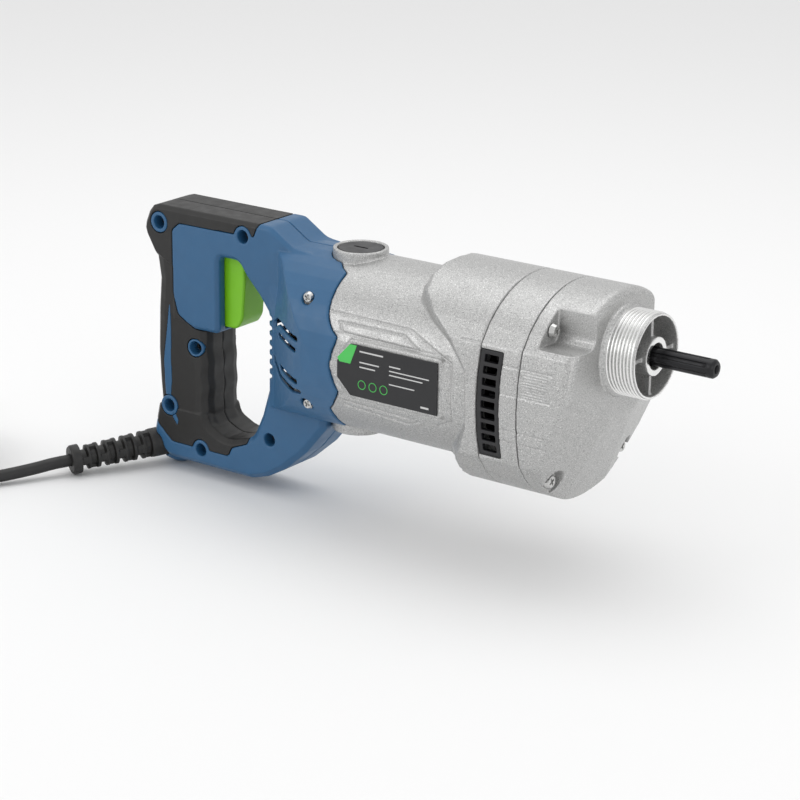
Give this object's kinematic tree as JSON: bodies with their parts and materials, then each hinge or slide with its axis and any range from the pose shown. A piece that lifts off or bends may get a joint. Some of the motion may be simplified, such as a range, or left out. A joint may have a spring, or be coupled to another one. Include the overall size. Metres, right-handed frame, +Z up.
{
  "type": "concrete vibrator drive unit",
  "caption": "Hand-held electric concrete vibrator drive unit with a D-handle, trigger, cast motor and gear housing, threaded nose and output shaft.",
  "frame": {"origin": "centre of the tool's footprint at the height of its lowest point, the cord gland under the handle", "axes": "+X along the motor axis towards the nose, +Z up through the top brush cap, +Y to the far side of the handle"},
  "size_m": [0.5384, 0.2113, 0.1555],
  "materials": {
    "blue_plastic": "fine satin texture",
    "grip_rubber": "soft matt rubber",
    "cast_aluminium": "sand-cast, lightly blasted",
    "black_plastic": "matt",
    "label": "printed film",
    "cord_jacket": "matt rubber jacket",
    "green_plastic": "satin",
    "steel": "bright",
    "dark_steel": "black oxide",
    "laminated_steel": "laminated sheet",
    "copper": "copper",
    "brass": "bright",
    "carbon": "graphite",
    "seal_rubber": "matt"
  },
  "bodies": {
    "tool_body": {"handle_left": "blue_plastic", "handle_right": "blue_plastic", "grip_rubber_left": "grip_rubber", "grip_rubber_right": "grip_rubber", "strain_relief": "grip_rubber", "motor_housing": "cast_aluminium", "gear_housing": "cast_aluminium", "front_cover": "cast_aluminium", "vent_grille_left": "black_plastic", "vent_grille_right": "black_plastic", "fan_baffle": "black_plastic", "switch_body": "black_plastic", "cable_clamp": "black_plastic", "brush_cap_top": "black_plastic", "brush_cap_bottom": "black_plastic", "cable_tie": "black_plastic", "plug_body": "black_plastic", "label_plate": "label", "power_cord": "cord_jacket", "cord_coil": "cord_jacket", "rear_bearing": "steel", "front_bearing": "steel", "output_rear_bearing": "steel", "output_front_bearing": "steel", "trigger_spring": "steel", "cover_screw_1": "steel", "cover_screw_2": "steel", "cover_screw_3": "steel", "cover_screw_4": "steel", "handle_screw_1": "steel", "handle_screw_2": "steel", "handle_screw_3": "steel", "handle_screw_4": "steel", "handle_screw_5": "steel", "handle_screw_6": "steel", "handle_screw_7": "steel", "handle_screw_8": "steel", "stator_core": "laminated_steel", "field_coil_top": "copper", "field_coil_bottom": "copper", "brush_spring_top": "copper", "brush_spring_bottom": "copper", "brush_holder_top": "brass", "brush_holder_bottom": "brass", "plug_pin_1": "brass", "plug_pin_2": "brass", "shaft_seal": "seal_rubber"},
    "armature": {"armature_core": "laminated_steel", "armature_shaft": "steel", "commutator": "copper", "cooling_fan": "black_plastic", "pinion": "steel"},
    "output": {"drive_gear": "steel", "output_shaft": "dark_steel"},
    "trigger": {"trigger": "green_plastic", "switch_plunger": "black_plastic"},
    "brush_top": {"carbon_brush_top": "carbon"},
    "brush_bottom": {"carbon_brush_bottom": "carbon"}
  },
  "joints": [
    {"name": "armature_spin", "type": "hinge", "parent": "tool_body", "child": "armature", "pos_m": [-0.03746, 0, 0.0985], "axis": [1, 0, 0], "continuous": true},
    {"name": "output_spin", "type": "hinge", "parent": "tool_body", "child": "output", "pos_m": [-0.03746, 0, 0.124], "axis": [1, 0, 0], "continuous": true},
    {"name": "trigger_slide", "type": "slide", "parent": "tool_body", "child": "trigger", "axis": [-1, 0, 0], "range_m": [0, 0.005], "stiffness_N_per_m": 800, "springref_m": -0.004, "deforming": ["trigger_spring"]},
    {"name": "brush_slide_top", "type": "slide", "parent": "tool_body", "child": "brush_top", "axis": [0, 0, 1], "range_m": [0, 0.002], "stiffness_N_per_m": 300, "springref_m": -0.004, "deforming": ["brush_spring_top"]},
    {"name": "brush_slide_bottom", "type": "slide", "parent": "tool_body", "child": "brush_bottom", "axis": [0, 0, -1], "range_m": [0, 0.002], "stiffness_N_per_m": 300, "springref_m": -0.004, "deforming": ["brush_spring_bottom"]}
  ],
  "couplings": [
    {"joint": "output_spin", "follows": "armature_spin", "ratio": -0.30769}
  ]
}
